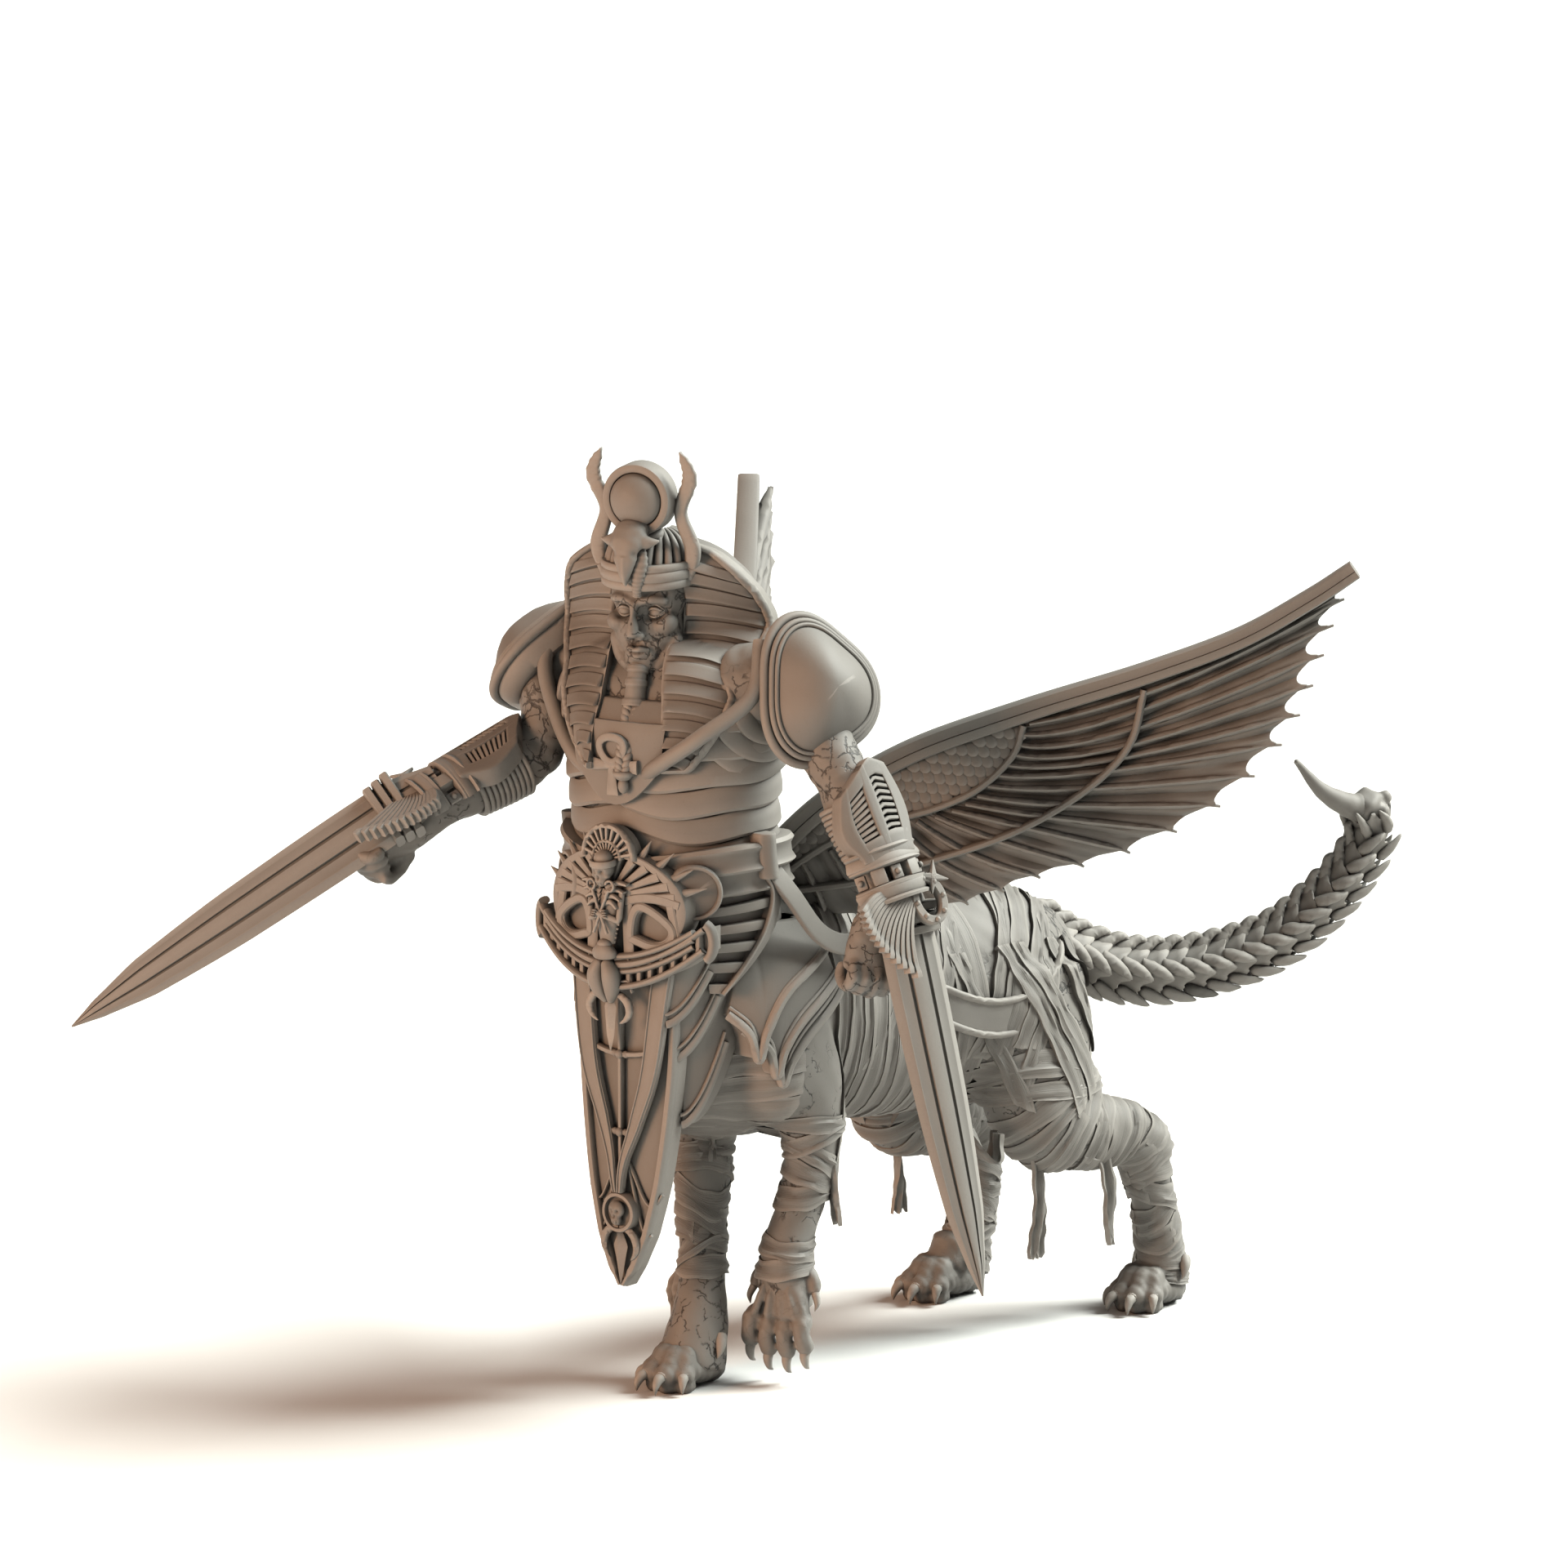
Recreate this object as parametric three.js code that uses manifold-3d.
// A display figure of an androsphinx, cast in one piece: a striding winged lion
// whose shoulders carry an armoured human torso in a striped royal headcloth,
// with a bladed gauntlet on each arm and a scorpion's tail.
// Millimetres, +Z up. The figure faces -Y and its own left is +X.

import * as THREE from 'three';
import { mergeVertices } from 'three/addons/utils/BufferGeometryUtils.js';
import Module from 'manifold-3d';

const wasm = await Module();
wasm.setup();

const TAU = Math.PI * 2;
const { clamp, degToRad, lerp } = THREE.MathUtils;

// The whole figure: how far the middle of its box lies behind the front shoulders
const MIDDLE_Y = 34.8;
const MERGE_GAP = 1e-4;
const RESIN = { color: 0x96938a, roughness: 0.62, metalness: 0 };

// The lion's trunk, front to back:
// [distance back, height of the middle, half width, half height]
const TRUNK = [
  [-9.5, 73, 7, 12],
  [-3, 73.5, 14, 21.5],
  [10, 72.5, 17, 25.5],
  [26, 71, 16.5, 24.5],
  [42, 68.5, 15.5, 22],
  [58, 66.5, 16.5, 21.5],
  [74, 66, 17.5, 22],
  [88, 67.5, 15, 18.5],
  [98, 70, 8, 11],
];
const TRUNK_SIDES = 12;
const SADDLE_STRAP = { start: 44, end: 90, halfWidth: 3.3, top: 74, sag: 9 };

// The human torso, hips to neck: [height, half width, half depth, middle y]
const TORSO = [
  [82, 17, 17, 4],
  [98, 19, 15.5, 0.5],
  [108, 19, 15, -1],
  [119, 20, 15.2, -1.5],
  [129, 22, 16, -1],
  [136, 23, 14, -0.5],
  [141.5, 18, 10.5, -1.5],
  [145.5, 8, 7.5, -3.5],
];
const TORSO_TWIST = degToRad(15);
const TORSO_SIDES = 12;
const ABDOMEN = { bottom: 99, top: 121, bands: 4, lip: 1 };

// The head and the headcloth, each in its own frame: middle at eye height, face towards -Y
const HEAD_PLACE = [0.4, -6.5, 151];
const HEAD_TURN = degToRad(25);
const HEAD_BOW = degToRad(4);
const FACE_HALF_WIDTH = 7.6;
// [height, outer edge across and back, inner edge across and back]
const HEADCLOTH = [
  [12.6, 5, -1, -1, -1.6], [11, 12, -1.4, -1, -3.4], [8, 16.4, -1, 3.5, -4.6], [3.3, 19.3, 3, 6.6, -2.8],
  [-3, 20.8, 6.4, 6.6, -2], [-7.6, 19.7, 3.4, 6.4, -2.8], [-11, 17.9, -0.4, 6.4, -4.6],
  [-17, 16.4, -4.8, 6.9, -10.2], [-23, 13.4, -7.8, 7.2, -13.2], [-29, 9, -10, 6.8, -14.4],
];
const HEADCLOTH_STRIPES = 9;
const HEADCLOTH_THICKNESS = 3.6;
const DISC_RADIUS = 6.8;
const HORN = [[8.2, -3, 6.5], [9.6, -3.6, 12], [7.6, -4, 19], [9.8, -4.4, 25.6], [8, -4.4, 30.6]];

// Arms and blades
const LEFT_ARM = {
  shoulder: [28.5, 6, 138], elbow: [39, 6, 121.5], wrist: [47, 8, 103.5], fist: [46, 5.5, 88],
};
const LEFT_BLADE = { base: [51.5, 9.5, 97], tip: [68.6, 14, 27.4] };
const RIGHT_ARM = {
  shoulder: [-28.5, -7, 137.5], elbow: [-23, -16, 121.5], wrist: [-27.5, -35, 112.5], fist: [-32.5, -46, 105],
};
const RIGHT_BLADE = { base: [-30, -44.5, 113], tip: [-61.5, -97.5, 73.7] };
const LEFT_OUT = [0.96, -0.22, 0.2];
const RIGHT_OUT = [0.1, 0, 1];
const RIGHT_FLAT = [0.55, -0.6, 0.45];
const LEFT_PAULDRON = { centre: [31.6, 5.4, 137.2], turn: degToRad(-14), roll: degToRad(-14), height: 8 };
const RIGHT_PAULDRON = { centre: [-30, -7.8, 138], turn: degToRad(192), roll: degToRad(-36), height: 7.5 };
const PAULDRON_HALF = [11.6, 13.4];
const PAULDRON_CORNER = degToRad(111);
// [share of the way down, half width, half depth], with the clasp at the wrist
const FOREARM = [
  [0, 4.6, 4.8], [0.2, 5.5, 5.7], [0.42, 5.3, 5.4], [0.58, 5, 5], [0.59, 6.4, 7], [0.72, 6.4, 7],
  [0.73, 4.4, 4.6], [1, 4.2, 4.2],
];
const BLADE_TANG = 0.13;
// [share of the length, share of the half width, share of the half thickness]
const BLADE_OUTLINE = [
  [0, 0.6, 0.9], [0.12, 1, 1.1], [0.55, 0.95, 1], [0.8, 0.7, 0.85], [0.93, 0.33, 0.6], [1, 0.03, 0.1],
];
const BLADE_HALF_WIDTH = 5.8;
const BLADE_HALF_THICKNESS = 1.7;

// Wings, drawn in their own plane: distance out along it, distance up it
const WING_ROOT = [6, 18, 103];
const WING_SWEEP = degToRad(43.3);
const WING_LEAN = degToRad(0.5);
const WING_FEATHERS = 10;
const WING_THICKNESS = 1.5;
const LEADING_EDGE = [
  [-3, -4], [10, 8.5], [26, 18.5], [48, 26.8], [70, 34], [88, 41], [101, 48.5], [109.5, 54.3],
];
const TRAILING_EDGE = [
  [-1, -13], [20, -14], [38, -9.5], [58, -3.5], [76, 3.5], [90, 15], [99, 30], [104, 43], [110, 54],
];

// Tail, from the rump to the root of its sting
const TAIL_PATH = [
  [0, 88, 78], [2.5, 99, 71], [7, 112, 66.3], [12, 127, 66], [18, 142.5, 70.3], [23, 154, 79.5],
  [26, 161, 89.5], [26.5, 160, 96],
];
const TAIL_SEGMENTS = 15;
const TAIL_HALF_WIDTH = [5.2, 3.9];
const TAIL_CREST = 2.4;
const STING = [[26.5, 160, 96], [25.5, 155.5, 97], [23.8, 149.5, 100.5], [22, 144.2, 106.6]];

// Legs: joints from the trunk down, each [place, half width, half depth]
const FRONT_RIGHT = [
  [[-9, 9, 70], 8, 10], [[-9.5, 12, 56], 7, 8.5], [[-6.5, 11, 43], 5, 6.2], [[-3.2, 8, 29], 4.3, 4.8],
  [[-0.6, 5.5, 19], 4.4, 4.5], [[1, 3, 10], 5.6, 5.8], [[1.8, 1, 3], 6.2, 7],
];
const FRONT_LEFT = [
  [[12, 12, 72], 7.6, 11], [[14, 18, 59], 6.6, 8.5], [[13.6, 21.5, 47], 5.4, 6.2],
  [[12.6, 19.5, 35], 4.3, 4.7], [[11.2, 16.5, 24], 4.4, 4.6], [[11, 17.5, 14], 4.9, 4.6],
];
const HIND_LEFT = [
  [[10, 78, 71], 9, 15], [[14.5, 78, 55], 8.8, 14], [[16, 81, 43], 7.6, 10.5], [[16, 93, 38], 6, 7.6],
  [[16, 104.5, 35], 4.7, 5.6], [[16.5, 110, 22], 4, 4.4], [[17, 112.5, 8], 4.6, 4.8],
  [[17, 111, 2], 4.8, 5.4],
];
const HIND_RIGHT = [
  [[-10, 74, 70], 9, 14], [[-14.5, 70, 54], 8.4, 12.5], [[-16, 70, 42], 7.2, 9.5], [[-16, 81, 37.5], 5.8, 7],
  [[-16, 91.5, 34], 4.6, 5.4], [[-16, 92.5, 21], 4, 4.4], [[-16.2, 89.5, 8], 4.6, 4.8],
  [[-16.4, 87.5, 2], 4.8, 5.4],
];
const PAW = { halfWidth: 6.9, halfLength: 9.2, height: 9, toeSpread: degToRad(27) };

// Lower edges of the shoulder plates, the outermost first: [distance back, height]
const SHOULDER_PLATES = [
  [[-3.5, 75], [-0.8, 71.5], [0.5, 66.5], [2.2, 72], [7, 79], [17.5, 85.4]],
  [[-1, 72], [3, 68], [4.4, 63], [6, 68], [10.5, 73.5], [20.5, 80]],
  [[1, 70], [5, 66], [6.6, 61], [8.2, 65], [12.5, 70], [22, 76.4]],
];
const SHOULDER = { middle: [14, 66], half: [22.5, 24, 34], step: 0.9 };

// The plate at the hips and the long apron under it: their own frame faces this way
const FRONT_TURN = degToRad(10);
const BELT_PLATE = { height: 96, halfWidth: 16, halfHeight: 11, face: -20.5, thickness: 3.2, bulge: 90 };
const APRON = { top: 82, tip: 22.3, face: -17.4, thickness: 2, bulge: 60 };
// Lower ends of the plates layered beside the apron: [height at its inner edge, at its outer]
const APRON_LAYERS = [[74, 84], [67, 79], [54, 70]];
// [share of the way down, half width]
const APRON_OUTLINE = [[0, 11.6], [0.3, 11.3], [0.5, 10], [0.68, 8.2], [0.84, 5.6], [0.94, 2.8], [1, 0.4]];

const vector = (p) => (p.isVector3 ? p.clone() : new THREE.Vector3(...p));
const curveThrough = (points) => new THREE.CatmullRomCurve3(points.map(vector));

// The row of a table at a key between its own, every column blended in a line
function rowAt(table, key) {
  let i = 0;
  while (i < table.length - 2 && table[i + 1][0] < key) i += 1;
  const t = clamp((key - table[i][0]) / (table[i + 1][0] - table[i][0]), 0, 1);
  return table[i].map((value, column) => lerp(value, table[i + 1][column], t));
}

// A closed geometry as a solid, with its faces turned outward
function solid(geometry) {
  geometry.deleteAttribute('normal');
  geometry.deleteAttribute('uv');
  const merged = mergeVertices(geometry, MERGE_GAP);
  const points = merged.attributes.position.array;
  const corners = merged.index.array;
  const a = new THREE.Vector3();
  const b = new THREE.Vector3();
  const c = new THREE.Vector3();
  const triangles = [];
  let volume = 0;
  for (let i = 0; i < corners.length; i += 3) {
    const [p, q, r] = corners.slice(i, i + 3);
    if (p === q || q === r || r === p) continue;
    triangles.push(p, q, r);
    a.fromArray(points, 3 * p);
    b.fromArray(points, 3 * q);
    c.fromArray(points, 3 * r);
    volume += a.dot(b.cross(c));
  }
  if (volume < 0) triangles.reverse();
  return new wasm.Manifold(new wasm.Mesh({
    numProp: 3,
    vertProperties: new Float32Array(points),
    triVerts: new Uint32Array(triangles),
  }));
}

// A solid of one geometry after every point of it is moved by a function
function bent(geometry, move) {
  const position = geometry.attributes.position;
  const p = new THREE.Vector3();
  for (let i = 0; i < position.count; i += 1) {
    p.fromBufferAttribute(position, i);
    const moved = move(p.x, p.y, p.z);
    position.setXYZ(i, moved.x, moved.y, moved.z);
  }
  return solid(geometry);
}

// A bar along a smooth curve: rows of [share of the curve, half width, half depth, crest],
// with the depth and the crest on top measured towards a given direction
function sweep(points, rows, { sides = 8, toward = [0, 0, 1], section = null } = {}) {
  const curve = curveThrough(points);
  const spans = rows.length - 1;
  const geometry = new THREE.CylinderGeometry(1, 1, spans, section ? section.length : sides, spans);
  return bent(geometry, (x, y, z) => {
    const [share, wide, deep, crest = 0] = rows[Math.round(y + spans / 2)];
    const along = curve.getTangent(share);
    const side = along.clone().cross(vector(toward)).normalize();
    const front = side.clone().cross(along);
    let corner = [x, z];
    if (section && (x !== 0 || z !== 0)) {
      const turn = (Math.atan2(x, z) + TAU) % TAU;
      corner = section[Math.round((turn / TAU) * section.length) % section.length];
    }
    const rise = corner[1] * deep + (corner[1] > 0.9 ? crest : 0);
    return curve.getPoint(share).addScaledVector(side, corner[0] * wide).addScaledVector(front, rise);
  });
}

// A sweep through joints, each [place, half width, half depth]
function limb(joints, options) {
  const rows = joints.map(([, wide, deep], k) => [k / (joints.length - 1), wide, deep]);
  return sweep(joints.map(([place]) => place), rows, options);
}

// A plate whose point at (u, v, w), each from 0 to 1, is given by a function
function slab(across, along, place) {
  const geometry = new THREE.BoxGeometry(1, 1, 1, across, along, 1);
  return bent(geometry, (x, y, z) => place(x + 0.5, y + 0.5, z + 0.5));
}

// A closed ring whose point at (turn, outward, upward) is given by a function;
// a ring of four sides gets a square section
function ring(steps, sides, place) {
  const geometry = new THREE.TorusGeometry(2, 1, sides, steps);
  const square = sides === 4 ? 1 : 0;
  return bent(geometry, (x, y, z) => {
    const out = Math.hypot(x, y) - 2;
    return place(Math.atan2(y, x), out - square * z, z + square * out);
  });
}

// A ball stretched along three directions, or reshaped by a function of its unit point
function ball(centre, radii, { segments = [8, 6], place = null } = {}) {
  const geometry = new THREE.SphereGeometry(1, ...segments);
  geometry.rotateX(Math.PI / 2);
  const middle = vector(centre);
  const stretch = vector(radii);
  return bent(geometry, (x, y, z) => {
    const local = place ? place(x, y, z) : new THREE.Vector3(x, y, z);
    return local.multiply(stretch).add(middle);
  });
}

// A four-sided spike from the middle of its foot to its point
function spike(foot, point, radius, sides = 4) {
  const toward = Math.abs(point[2] - foot[2]) > Math.abs(point[1] - foot[1]) ? [0, 1, 0.01] : [0, 0.01, 1];
  return sweep([foot, point], [[0, radius, radius], [1, radius * 0.12, radius * 0.12]], { sides, toward });
}

// A frame: the matrix that takes local points to a place, turned about Z and then tipped
function frameAt(place, turn, bow = 0) {
  const matrix = new THREE.Matrix4().makeTranslation(...place);
  matrix.multiply(new THREE.Matrix4().makeRotationZ(turn));
  matrix.multiply(new THREE.Matrix4().makeRotationX(bow));
  return matrix;
}

const moved = (bodies, matrix) => bodies.map((body) => body.transform(matrix.elements));
const joined = (bodies) => bodies.reduce((whole, body) => whole.add(body));

// Local places for a hand or a gauntlet: along the arm, across it and outward from it
function armFrame(place, along, across, out) {
  return (a, b, c) => {
    return vector(place).addScaledVector(along, a).addScaledVector(across, b).addScaledVector(out, c);
  };
}

// A point on one side of the lion's trunk, at a distance back and a height
function trunkSide(side, y, z, out = 0) {
  const [, middle, wide, tall] = rowAt(TRUNK, y);
  const rise = clamp((z - middle) / tall, -0.98, 0.98);
  return new THREE.Vector3(side * (wide * Math.sqrt(1 - rise * rise) + out), y, z);
}

// A point on the human torso: angle 0 is its front, positive towards its left
function torsoPoint(angle, z, out = 0) {
  const [, wide, deep, middle] = rowAt(TORSO, z);
  const local = new THREE.Vector3((wide + out) * Math.sin(angle), -(deep + out) * Math.cos(angle), z);
  return local.applyAxisAngle(new THREE.Vector3(0, 0, 1), TORSO_TWIST).add(new THREE.Vector3(0, middle, 0));
}

// A point on the curved front plates: x across, z up, depth in front of the plate's face
function frontPoint(plate, x, z, proud) {
  const local = new THREE.Vector3(x, plate.face + (x * x) / plate.bulge - proud, z);
  return local.applyAxisAngle(new THREE.Vector3(0, 0, 1), FRONT_TURN);
}

function trunk() {
  const rings = TRUNK.length - 1;
  const rows = TRUNK.map(([, , wide, tall], k) => [k / rings, wide, tall]);
  const body = sweep(TRUNK.map(([y, middle]) => [0, y, middle]), rows, { sides: TRUNK_SIDES });
  return [body, saddleStrap(1), saddleStrap(-1)];
}

// The wide strap that hangs in a curve on each side of the haunch
function saddleStrap(side) {
  const { start, end, halfWidth, top, sag } = SADDLE_STRAP;
  return slab(6, 1, (u, v, w) => {
    const height = top - sag * Math.sin(Math.PI * u) + (v - 0.5) * 2 * halfWidth;
    return trunkSide(side, lerp(start, end, u), height, lerp(-2, 3.4, w));
  });
}

function leg(joints) {
  return limb(joints, { sides: 7, toward: [0, 1, 0.35] });
}

// A lion's paw in its own frame: sole on the ground, four lobed toes towards -Y
function paw() {
  const { halfWidth, halfLength, height, toeSpread } = PAW;
  const back = [1.5, 2.3, Math.PI, -2.3, -1.5];
  const turns = [0, 0.5, 1, 1.5, 2].map((k) => k * toeSpread);
  const around = [...turns, ...back, ...turns.slice(1).reverse().map((turn) => -turn)];
  const lobed = (turn) => {
    const share = Math.abs(turn) / toeSpread;
    return share < 2.1 ? 1.08 - 0.2 * Math.abs(Math.cos(Math.PI * share)) ** 0.7 : 0.78;
  };
  const sides = around.length;
  const rows = [[0, 0.92], [0.3, 1], [0.72, 0.88], [1, 0.5]];
  const geometry = new THREE.CylinderGeometry(1, 1, rows.length - 1, sides, rows.length - 1);
  return bent(geometry, (x, y, z) => {
    const [rise, reach] = rows[Math.round(y + (rows.length - 1) / 2)];
    if (x === 0 && z === 0) return new THREE.Vector3(0, 2 * rise, rise * height * 0.84);
    const k = Math.round((((Math.atan2(x, z) + TAU) % TAU) / TAU) * sides) % sides;
    const far = reach * lerp(lobed(around[k]), 1, rise * 0.5);
    const across = Math.sin(around[k]) * far * halfWidth * 1.1;
    const behind = -Math.cos(around[k]) * far;
    return new THREE.Vector3(across, behind * halfLength + 2 * rise, rise * height * (0.8 + 0.2 * behind));
  });
}

function legs() {
  const standing = (place, turn) => moved([paw()], frameAt(place, degToRad(turn)))[0];
  const raised = moved([paw()], frameAt([11.8, 20.5, 12.6], degToRad(14), degToRad(82)));
  return [
    leg(FRONT_RIGHT), leg(FRONT_LEFT), leg(HIND_LEFT), leg(HIND_RIGHT),
    standing([2, -0.5, -0.4], 4), standing([17, 109.5, -0.4], 8), standing([-16.4, 84, -0.4], -2),
    ...raised, ...rags(),
  ];
}

// Loose ends of bandage that hang from the legs and the belly
function rags() {
  const ends = [
    [[17, 76.5, 40], [18.2, 77, 26], [18, 77.5, 16.5]],
    [[19.5, 91, 40], [20, 95, 26], [18.5, 97, 16.5]],
    [[15.5, 24, 52], [16.5, 24.8, 40], [16, 25, 31.5]],
  ];
  return ends.map((points) => {
    return limb(points.map((p, i) => [p, 2 - 0.3 * i, 1]), { sides: 4, toward: [1, 0, 0] });
  });
}

function torso() {
  const rows = [TORSO[0]];
  const { bottom, top, bands, lip } = ABDOMEN;
  const step = (top - bottom) / bands;
  for (let i = 0; i < bands; i += 1) {
    const low = rowAt(TORSO, bottom + step * i);
    const high = rowAt(TORSO, bottom + step * (i + 0.96));
    rows.push([low[0], low[1] + lip, low[2] + lip, low[3]]);
    rows.push([high[0], high[1] - lip * 0.4, high[2] - lip * 0.4, high[3]]);
  }
  rows.push(...TORSO.filter(([z]) => z > top));
  const middle = (rows.length - 1) / 2;
  const geometry = new THREE.CylinderGeometry(1, 1, rows.length - 1, TORSO_SIDES, rows.length - 1);
  const body = bent(geometry, (x, y, z) => {
    const [height, wide, deep, back] = rows[Math.round(y + middle)];
    const local = new THREE.Vector3(x * wide, -z * deep, height);
    return local.applyAxisAngle(new THREE.Vector3(0, 0, 1), TORSO_TWIST).add(new THREE.Vector3(0, back, 0));
  });
  const neck = limb([[[0, -3, 138], 6, 6], [[0, -5, 149], 5, 5.5]], { sides: 8, toward: [0, 1, 0] });
  return [body, neck, ...chestCords(), pectoral()];
}

// The two thick cords that cross from the shoulders to the pectoral
function chestCords() {
  return [-1, 1].map((side) => {
    const points = [[1.2, 134, 1.4], [0.85, 128.5, 1.6], [0.5, 122, 1.4], [0.12, 115.5, 1.2]];
    const path = points.map(([angle, z, out]) => torsoPoint(side * angle, z, out));
    path.unshift(vector([side * 22, 1, 144.5]));
    return limb(path.map((p) => [p, 1.9, 1.9]), { sides: 5, toward: [0.1, -1, 0.2] });
  });
}

// The shield-shaped pectoral, low on the chest
function pectoral() {
  return slab(2, 2, (u, v, w) => {
    const half = 6.5 * Math.min(1, 0.05 + 2.1 * v);
    return torsoPoint(((u - 0.5) * 2 * half) / 16, lerp(114.5, 131, v), lerp(-1, 2.2, w));
  });
}

function head() {
  const joints = [
    [[0, -1, 11], 4, 5], [[0, -1.4, 7], FACE_HALF_WIDTH, 8.2], [[0, -2.2, 1], FACE_HALF_WIDTH, 8.2],
    [[0, -3.4, -5.5], 6.6, 7], [[0, -6, -11.6], 2.8, 3.4],
  ];
  const face = limb(joints, { sides: 8, toward: [0, 1, 0] });
  const nose = spike([0, -9.8, -3.8], [0, -9.2, 3.2], 1.5);
  const band = ring(10, 4, (turn, out, up) => new THREE.Vector3(
    (8.1 + 0.8 * out) * Math.sin(turn), -1.4 - (8.7 + 0.8 * out) * Math.cos(turn), 6.6 + 2 * up,
  ));
  return [
    ...moved([face, nose, band, ...beard(), ...crown()], frameAt(HEAD_PLACE, HEAD_TURN, HEAD_BOW)),
    ...moved(headcloth(), frameAt(HEAD_PLACE, HEAD_TURN)),
  ];
}

// The false beard: a plain tube, then a plait
function beard() {
  const joints = [
    [[0, -9.2, -11], 1.8, 1.8], [[0, -10.8, -15.6], 2.2, 2.2], [[0, -12.4, -21.5], 1.6, 1.6],
    [[0, -14.6, -29], 1.8, 1.8],
  ];
  return [limb(joints, { sides: 5, toward: [0, 1, 0] })];
}

// The striped headcloth: a hood spread on both sides of the face, then two lappets
function headcloth() {
  const rows = HEADCLOTH_STRIPES * 2;
  const [top, bottom] = [HEADCLOTH[0][0], HEADCLOTH.at(-1)[0]];
  const table = HEADCLOTH.map(([z, ...rest]) => [-z, ...rest]);
  const sides = [-1, 1].map((side) => slab(1, rows - 1, (u, v, w) => {
    const k = Math.round(v * (rows - 1));
    const share = (Math.floor(k / 2) + (k % 2) * 0.96) / HEADCLOTH_STRIPES;
    const z = lerp(top, bottom, share);
    const [, outer, outerBack, inner, innerBack] = rowAt(table, -z);
    const lip = k % 2 ? 0.6 : -0.1;
    const face = lerp(innerBack, outerBack, u) - lip;
    const back = face + HEADCLOTH_THICKNESS + lip;
    return new THREE.Vector3(side * lerp(inner, outer, u), lerp(face, back, w), z);
  }));
  const hood = ball([0, 5.5, 0], [18.5, 10.5, 12.8], { segments: [9, 5] });
  const nape = limb([[[0, 5, -4], 18, 8], [[0, 7, -24], 11, 6]], { sides: 6, toward: [0, 1, 0] });
  return [...sides, hood, nape];
}

// The sun disc between lyre-shaped horns, over a bird's head and a serpent
function crown() {
  const profile = [[0, 3.4], [DISC_RADIUS, 2.6], [DISC_RADIUS, -2], [5.2, -2], [3.6, -4.4], [0, -5.4]];
  const disc = new THREE.LatheGeometry(profile.map(([x, y]) => new THREE.Vector2(x, y)), 12);
  const plate = bent(disc, (x, y, z) => new THREE.Vector3(x, y - 5.6, z + 21.6));
  const horns = [-1, 1].map((side) => {
    const path = HORN.map(([x, y, z], i) => [[side * x, y, z], 1.3 - 0.22 * i, 1.2 - 0.18 * i]);
    return limb(path, { sides: 4, toward: [0, -1, 0] });
  });
  const support = limb([[[0, -2.4, 9], 5.4, 4], [[0, -4.6, 15.8], 3.4, 2.6]], {
    sides: 5, toward: [0, 1, 0],
  });
  const bird = limb([
    [[-0.4, -4, 14.5], 3.2, 3], [[-0.4, -9.8, 14.4], 3.2, 3], [[-0.4, -12, 5.6], 0.6, 0.6],
  ], { sides: 6, toward: [0, 0.3, 1] });
  const serpent = limb([[[1.4, -10.2, 9.4], 1.4, 1], [[1.2, -10.6, 3], 0.9, 0.8]], {
    sides: 4, toward: [0, 1, 0],
  });
  return [plate, ...horns, support, bird, serpent];
}

// An arm from the torso to the wrist, with its hand
function arm({ shoulder, elbow, wrist, fist }, side) {
  const out = new THREE.Vector3(side, -0.35, 0.2).normalize();
  const middle = vector(shoulder).lerp(vector(elbow), 0.6);
  const joints = [[[side * 14, -0.5, 136.5], 8, 8], [shoulder, 8, 8.6], [middle, 6.3, 6.6], [elbow, 5, 5.2]];
  const upper = limb(joints, { sides: 7, toward: [0.2, 0.2, 1] });
  const hand = vector(wrist).lerp(vector(fist), 0.5);
  const lower = sweep([elbow, wrist, hand], FOREARM, { sides: 7, toward: out });
  return [upper, lower, ...fistOf(wrist, fist, out)];
}

// A closed hand: a palm and four curled fingers
function fistOf(wrist, fist, out) {
  const along = vector(fist).sub(vector(wrist)).normalize();
  const across = along.clone().cross(out).normalize();
  const at = armFrame(fist, along, across, across.clone().cross(along));
  const palm = limb([[at(-8, 0, 0), 4.2, 3.8], [at(2.5, 0, 0), 5, 4.2]], {
    sides: 6, toward: across.clone().cross(along),
  });
  const fingers = slab(4, 1, (u, v, w) => {
    const knuckle = Math.round(u * 4) % 2 ? 0 : 0.9;
    const depth = lerp(-3.7 + knuckle * 0.5, 3.4 - knuckle * 0.5, w);
    return at(lerp(0, 6.4 - knuckle, v), lerp(-4.7, 4.7, u), depth);
  });
  return [palm, fingers];
}

// A long leaf blade with a raised middle and a groove on each face
function blade({ base, tip }, flat) {
  const start = vector(base);
  const direction = vector(tip).sub(start);
  const section = [[0, 0.55], [0.5, 1], [1, 0], [0.5, -1], [0, -0.55], [-0.5, -1], [-1, 0], [-0.5, 1]];
  const rows = BLADE_OUTLINE.map(([share, wide, deep]) => {
    return [share, wide * BLADE_HALF_WIDTH, deep * BLADE_HALF_THICKNESS];
  });
  const hilt = start.clone().addScaledVector(direction, -BLADE_TANG);
  return sweep([hilt, tip], rows, { section, toward: flat });
}

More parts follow.
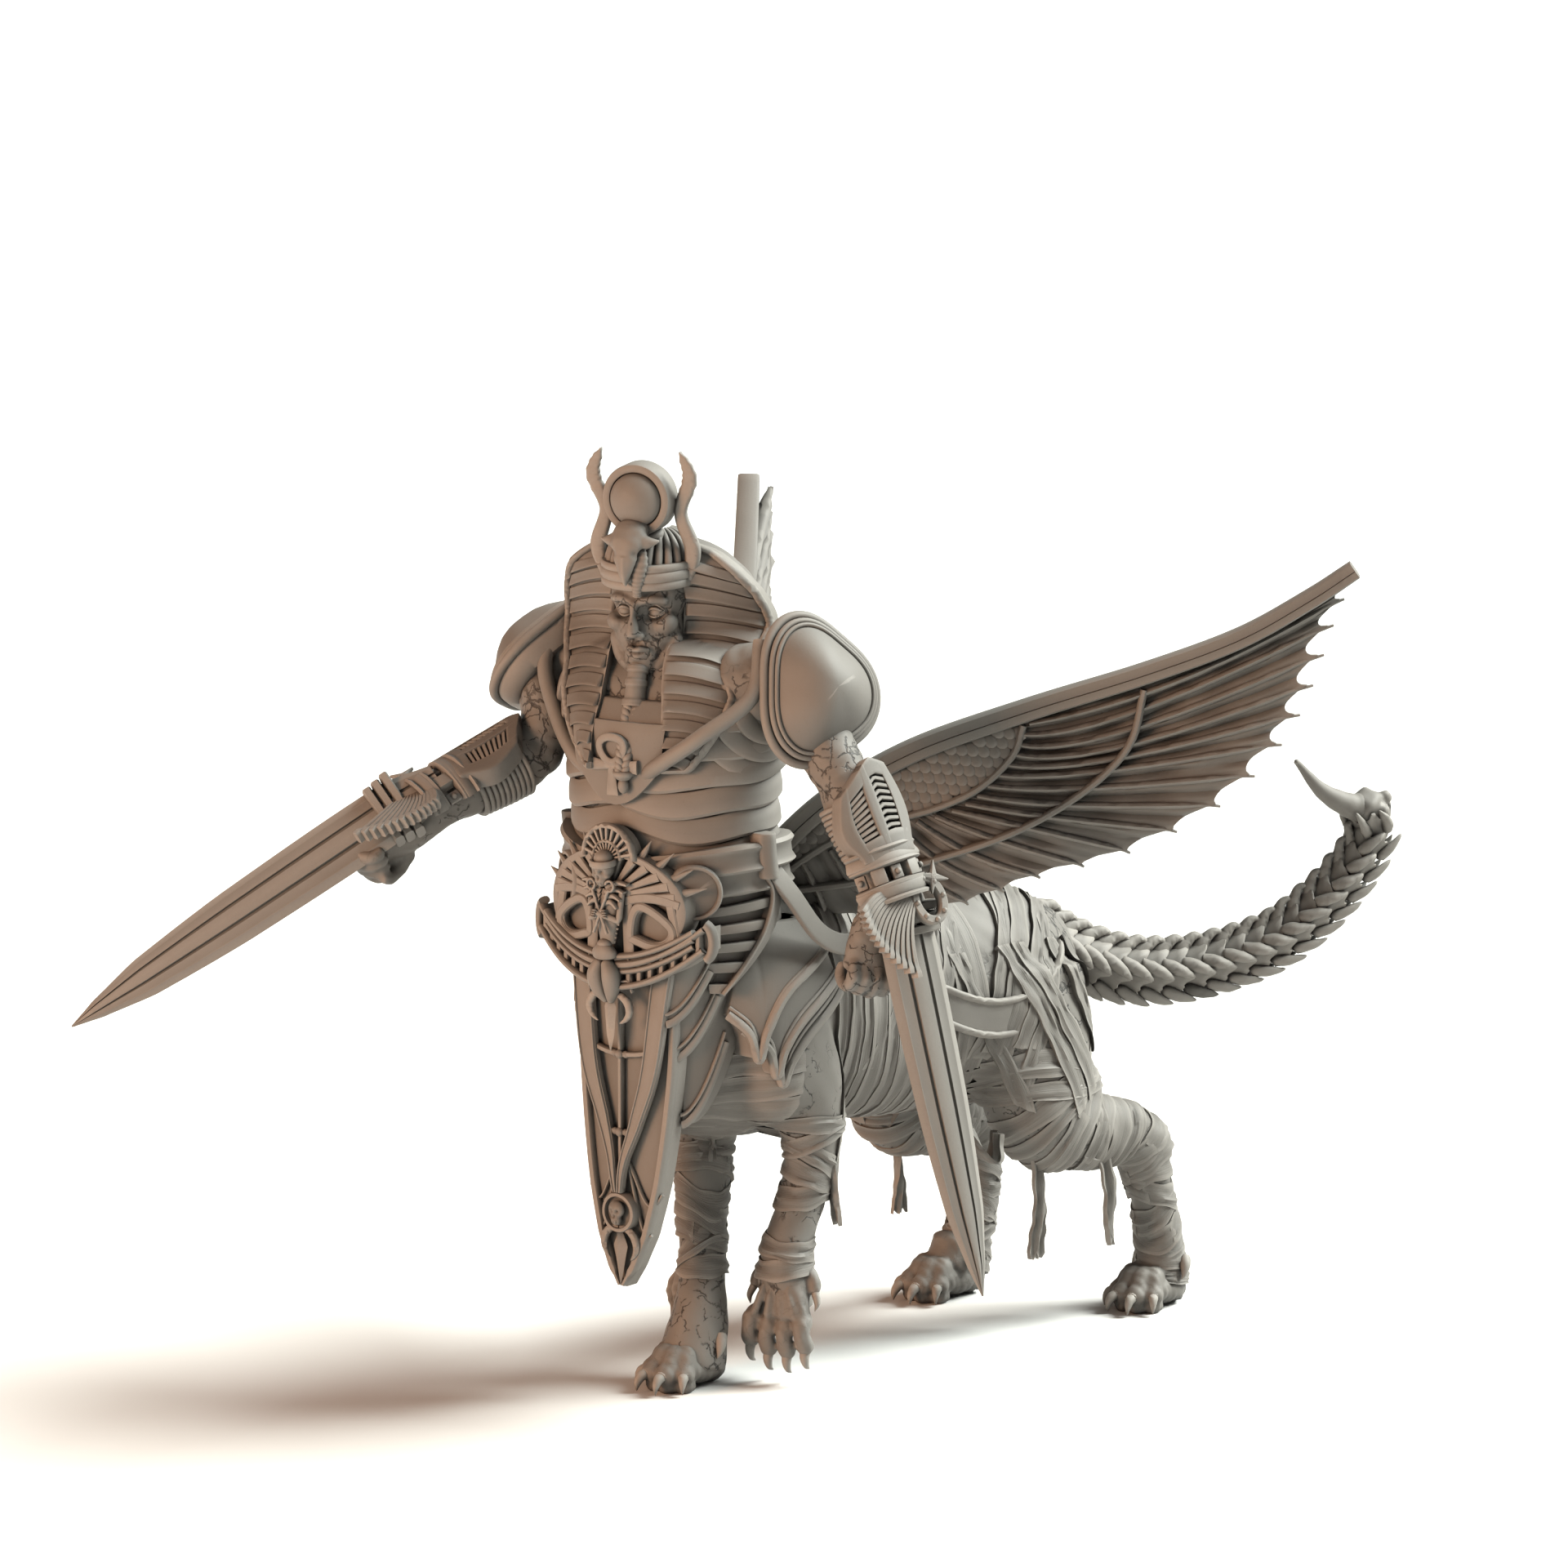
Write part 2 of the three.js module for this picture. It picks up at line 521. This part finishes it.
// What a gauntlet adds to the forearm: a vented plate and a wing of feathers over the fist
function gauntlet({ elbow, wrist }, outward) {
  const along = vector(wrist).sub(vector(elbow)).normalize();
  const out = vector(outward);
  out.addScaledVector(along, -out.dot(along)).normalize();
  const at = armFrame(wrist, along, along.clone().cross(out), out);
  const plate = slab(2, 2, (u, v, w) => {
    const across = (u - 0.5) * 2 * (5.4 + 1.7 * Math.sin(Math.PI * clamp(v * 1.1, 0, 1)));
    return at(lerp(-22, -3, v), across, 6.8 - 0.045 * across * across + lerp(-2.6, 1.2, w));
  });
  const vents = [-2.4, 2.4].map((across) => slab(1, 1, (u, v, w) => {
    return at(lerp(-19, -7, v), across + lerp(-1.4, 1.4, u), lerp(7.1, 10, w));
  }));
  const feathers = slab(4, 1, (u, v, w) => {
    const k = Math.round(u * 4);
    const reach = lerp(13.5, 8, u) + 0.9 * (k % 2);
    return at(lerp(1, reach, v), lerp(-6.2, 3.8, u), 2.6 + lerp(0, 2.8, w) + 0.3 * k);
  });
  return [vents.reduce((body, cut) => body.subtract(cut), plate), feathers];
}

// A domed shoulder guard, a rounded triangle with a thick rim
function pauldron({ centre, turn, roll, height }) {
  const rows = [[-0.6, 0.9], [0, 1.04], [0.1, 0.98], [0.14, 0.87], [0.7, 0.55]];
  const geometry = new THREE.CylinderGeometry(1, 1, rows.length - 1, 9, rows.length - 1);
  const matrix = frameAt(centre, turn);
  matrix.multiply(new THREE.Matrix4().makeRotationY(roll));
  return bent(geometry, (x, y, z) => {
    const [rise, reach] = rows[Math.round(y + (rows.length - 1) / 2)];
    const corner = 1 + 0.1 * Math.cos(3 * (Math.atan2(z, x) - PAULDRON_CORNER));
    const top = x === 0 && z === 0 && rise > 0 ? 0.3 : 0;
    const [wide, tall] = PAULDRON_HALF.map((half) => half * reach * corner);
    return new THREE.Vector3((rise + top) * height, x * wide, z * tall).applyMatrix4(matrix);
  });
}

function arms() {
  return [
    ...arm(LEFT_ARM, 1), ...gauntlet(LEFT_ARM, LEFT_OUT), blade(LEFT_BLADE, LEFT_OUT),
    ...arm(RIGHT_ARM, -1), ...gauntlet(RIGHT_ARM, RIGHT_OUT), blade(RIGHT_BLADE, RIGHT_FLAT),
    pauldron(LEFT_PAULDRON), pauldron(RIGHT_PAULDRON),
  ];
}

// The belt, the round boss and the slatted fan at each hip
function belt() {
  const strap = ring(12, 4, (turn, out, up) => {
    return torsoPoint(turn, 101.5 + 1.6 * Math.cos(turn + 2.4) + 2.2 * up, 0.8 + 1.2 * out);
  });
  const fans = [-1, 1].flatMap((side) => {
    const point = (angle, z, out) => torsoPoint(side * angle, z, out);
    const fan = slab(4, 1, (u, v, w) => {
      const groove = Math.round(u * 4) % 2 ? 0.9 : 0;
      const low = 79 + 6 * (2 * u - 0.7) ** 2;
      return point(lerp(0.62, 1.75, u), lerp(low, 101, v), lerp(-4, 1.8 - groove, w) + 2.5 * (1 - v));
    });
    const boss = ball([0, 0, 0], [5.7, 2.6, 5.7], { segments: [8, 3] });
    const seat = point(0.66, 96.5, 2.2);
    return [fan, ...moved([boss], frameAt(seat.toArray(), side * 0.72 + TORSO_TWIST))];
  });
  return [strap, ...fans];
}

// The curved plate at the front of the hips, with its rim, windows and rays
function beltPlate() {
  const { height, halfWidth, halfHeight, thickness } = BELT_PLATE;
  const at = (x, z, proud) => frontPoint(BELT_PLATE, x, z, proud);
  const rows = [[-thickness - 1.5, 0.9], [0.9, 1], [0.9, 0.9], [0, 0.87]];
  const geometry = new THREE.CylinderGeometry(1, 1, rows.length - 1, 14, rows.length - 1);
  const plate = bent(geometry, (x, y, z) => {
    const [proud, reach] = rows[Math.round(y + (rows.length - 1) / 2)];
    return at(x * reach * halfWidth, height + z * reach * halfHeight, proud);
  });
  const windows = [-1, 1].map((side) => slab(1, 1, (u, v, w) => {
    const x = side * lerp(4.5, 12, u);
    return at(x, height + lerp(-6.4 + 0.03 * x * x, 0.4 - 0.01 * x * x, v), lerp(-1.6, 2, w));
  }));
  const apronBelt = slab(6, 1, (u, v, w) => {
    const x = lerp(-19.5, 19.5, u);
    return at(x, height - 15 + 0.022 * x * x + lerp(0, 4.6, v), lerp(-4, 1.6, w));
  });
  const points = Array.from({ length: 5 }, (_, k) => {
    const turn = lerp(0.4, 2.74, k / 4);
    const foot = at(Math.cos(turn) * halfWidth * 0.84, height + Math.sin(turn) * halfHeight * 0.84, -1.4);
    const tip = at(Math.cos(turn) * halfWidth * 1.2, height + Math.sin(turn) * halfHeight * 1.24, -1.4);
    return spike(foot.toArray(), tip.toArray(), 1.1, 3);
  });
  const cut = windows.reduce((body, hole) => body.subtract(hole), plate);
  return [cut, apronBelt, ...points, ...emblem(at, height)];
}

// The relief on the plate: a crowned bust of bones over a scarab beetle
function emblem(at, height) {
  const skull = ball(at(0, height + 6, 2.6).toArray(), [2.2, 2.4, 2.8], { segments: [6, 4] });
  const fan = slab(3, 1, (u, v, w) => {
    const turn = lerp(-1.25, 1.25, u);
    const reach = lerp(1, 5.4, v);
    return at(Math.sin(turn) * reach, height + 8.5 + Math.cos(turn) * reach, lerp(-2, 1.6, w));
  });
  const chest = limb([
    [at(0, height + 4, 0.8), 1.4, 1.6], [at(0, height + 1, 1.4), 3.6, 1.8], [at(0, height - 7, 1), 1.8, 1.6],
  ], { sides: 5, toward: [0, -1, 0] });
  const shell = limb([
    [at(0, height - 7.5, 0), 1.8, 2.4], [at(0, height - 12, 1.8), 3.5, 3.4],
    [at(0, height - 18.5, 0), 1.8, 2],
  ], { sides: 7, toward: [0, -1, 0] });
  const pincers = [-1, 1].map((side) => limb([
    [at(side * 1, height - 16.5, -0.6), 0.9, 0.9], [at(side * 4.4, height - 19.5, 0), 0.8, 0.8],
    [at(side * 2.2, height - 22.5, 0), 0.2, 0.2],
  ], { sides: 3, toward: [0, -1, 0] }));
  const lance = slab(1, 1, (u, v, w) => {
    return at((u - 0.5) * lerp(0.3, 3, v), lerp(height - 27.5, height - 16, v), lerp(-2.6, 0.8, w));
  });
  return [skull, fan, chest, shell, ...pincers, lance];
}

// The long apron: a rimmed, pointed board, its ribbons, medallion and spear, and the
// plates layered behind its edges
function apron() {
  const { top, tip, thickness } = APRON;
  const at = (x, z, proud) => frontPoint(APRON, x, z, proud);
  const edges = [[-1, -0.84, -0.82, 0, 0.82, 0.84, 1], [1, 1, 0, 0, 0, 1, 1]];
  const board = slab(6, APRON_OUTLINE.length - 1, (u, v, w) => {
    const [share, half] = APRON_OUTLINE[Math.round(v * (APRON_OUTLINE.length - 1))];
    const k = Math.round(u * 6);
    return at(edges[0][k] * half, lerp(top, tip, share), w ? edges[1][k] * 0.9 : -thickness - 1.5);
  });
  const ribbons = [-1, 1].map((side) => slab(1, 2, (u, v, w) => {
    const x = side * lerp(0.2, 7.6, v ** 1.3);
    return at(x + (u - 0.5) * 2.6, lerp(tip + 20, top - 2, v), lerp(-1, 1.1, w));
  }));
  const medallion = limb([[at(0, tip + 14.2, -1), 3.8, 3.8], [at(0, tip + 14.2, 1.9), 3.5, 3.5]], {
    sides: 8, toward: [0, 0, 1],
  });
  const spear = slab(2, 1, (u, v, w) => {
    return at((u - 0.5) * lerp(0.4, 3.4, v), lerp(tip + 1, tip + 10, v), lerp(-1, 1.4, w));
  });
  const layers = [-1, 1].flatMap((side) => APRON_LAYERS.map(([inner, outer], k) => slab(2, 1, (u, v, w) => {
    const low = lerp(inner, outer, u * u);
    const back = -15.4 + 7 * u + 0.7 * k + lerp(4, 0, w);
    const local = new THREE.Vector3(side * (11 + 4 * u), back, lerp(low, 89, v));
    return local.applyAxisAngle(new THREE.Vector3(0, 0, 1), FRONT_TURN);
  })));
  return [board, ...ribbons, medallion, spear, ...layers];
}

// Three overlapping plates on each of the lion's shoulders, drawn to points in front
function shoulderPlates() {
  const { middle, half, step } = SHOULDER;
  const shell = (side, y, z, out) => {
    const round = 1 - ((y - middle[0]) / half[1]) ** 2 - ((z - middle[1]) / half[2]) ** 2;
    return new THREE.Vector3(side * (half[0] * Math.sqrt(Math.max(round, 0.04)) + out), y, z);
  };
  return [-1, 1].flatMap((side) => SHOULDER_PLATES.map((edge, k) => slab(edge.length - 1, 1, (u, v, w) => {
    const [y, z] = edge[Math.round(u * (edge.length - 1))];
    const out = w ? 2.2 - step * k + (v ? 0 : 0.5) : -7;
    return shell(side, lerp(y, 10, 0.35 * v), lerp(z, 91, v), out);
  })));
}

// One wing of ridged feathers in its plane, mirrored for the other side
function wing(side) {
  const out = new THREE.Vector3(Math.cos(WING_SWEEP), Math.sin(WING_SWEEP), 0);
  const level = new THREE.Vector3(-Math.sin(WING_SWEEP), Math.cos(WING_SWEEP), 0);
  const up = new THREE.Vector3(0, 0, Math.cos(WING_LEAN)).addScaledVector(level, Math.sin(WING_LEAN));
  const normal = out.clone().cross(up);
  const at = (s, t, n) => {
    const p = vector(WING_ROOT).addScaledVector(out, s).addScaledVector(up, t).addScaledVector(normal, n);
    return new THREE.Vector3(side * p.x, p.y, p.z);
  };
  const lift = (points) => curveThrough(points.map(([s, t]) => [s, t, 0]));
  const front = lift(LEADING_EDGE);
  const rear = lift(TRAILING_EDGE);
  const columns = WING_FEATHERS * 2;
  const feathers = slab(columns, 1, (u, v, w) => {
    const k = Math.round(u * columns);
    const valley = k % 2 === 0 ? 1 : 0;
    const start = front.getPoint(0.04 + 0.7 * u);
    const end = rear.getPoint(clamp(0.02 + 0.97 * u, 0, 1));
    const place = start.clone().lerp(end, v * (1 - 0.08 * valley));
    const half = (WING_THICKNESS - 0.5 * valley) * (1 - 0.35 * v);
    return at(place.x, place.y, (w - 0.5) * 2 * half);
  });
  const rows = LEADING_EDGE.map((_, i) => [i / (LEADING_EDGE.length - 1), 2.3 - 0.1 * i, 2.5 - 0.09 * i]);
  const square = [[0.9, 0.9], [0.9, -0.9], [-0.9, -0.9], [-0.9, 0.9]];
  const toward = at(0, 0, 1).sub(at(0, 0, 0));
  const bar = sweep(LEADING_EDGE.map(([s, t]) => at(s, t, 0)), rows, { section: square, toward });
  return [feathers, bar];
}

// The tail: overlapping segments along one curve, each with a crest on top, and a sting
function tail() {
  const rows = [[0, 5.2, 5.2]];
  for (let k = 0; k < TAIL_SEGMENTS; k += 1) {
    const share = lerp(0.06, 1, k / TAIL_SEGMENTS);
    const next = lerp(0.06, 1, (k + 0.9) / TAIL_SEGMENTS);
    const size = lerp(...TAIL_HALF_WIDTH, share);
    rows.push([share, size * 0.84, size * 0.8], [next, size * 1.12, size * 1.05, TAIL_CREST]);
  }
  rows.push([1, 3, 3]);
  const body = sweep(TAIL_PATH, rows, { sides: 6, toward: [0.05, 0, 1] });
  const knob = ball(TAIL_PATH.at(-1), [3.9, 4.2, 3.9], { segments: [7, 4] });
  const thorn = STING.map((p, i) => [p, 2.9 - 0.88 * i, 2.9 - 0.88 * i]);
  const sting = limb(thorn, { sides: 6, toward: [0.3, 0.4, 1] });
  return [body, knob, sting];
}

// Everything is one casting, cut flat under the soles, with the pockets sealed between its
// parts filled by keeping the outer skin alone
function figure() {
  const parts = [
    ...trunk(), ...legs(), ...torso(), ...head(), ...arms(), ...belt(), ...beltPlate(), ...apron(),
    ...shoulderPlates(), ...wing(1), ...wing(-1), ...tail(),
  ];
  const ground = solid(new THREE.BoxGeometry(400, 600, 20).translate(0, 0, -10));
  const skins = joined(parts).subtract(ground).decompose();
  const outer = skins.reduce((largest, skin) => (skin.volume() > largest.volume() ? skin : largest));
  return outer.translate([0, -MIDDLE_Y, 0]);
}

function asMesh(body, name, material) {
  const { vertProperties, triVerts } = body.getMesh();
  const geometry = new THREE.BufferGeometry();
  geometry.setAttribute('position', new THREE.Float32BufferAttribute(vertProperties, 3));
  geometry.setIndex(Array.from(triVerts));
  geometry.computeVertexNormals();
  const mesh = new THREE.Mesh(geometry, material);
  mesh.name = name;
  return mesh;
}

const model = new THREE.Group();
model.add(asMesh(figure(), 'androsphinx', new THREE.MeshStandardMaterial(RESIN)));

export default model;
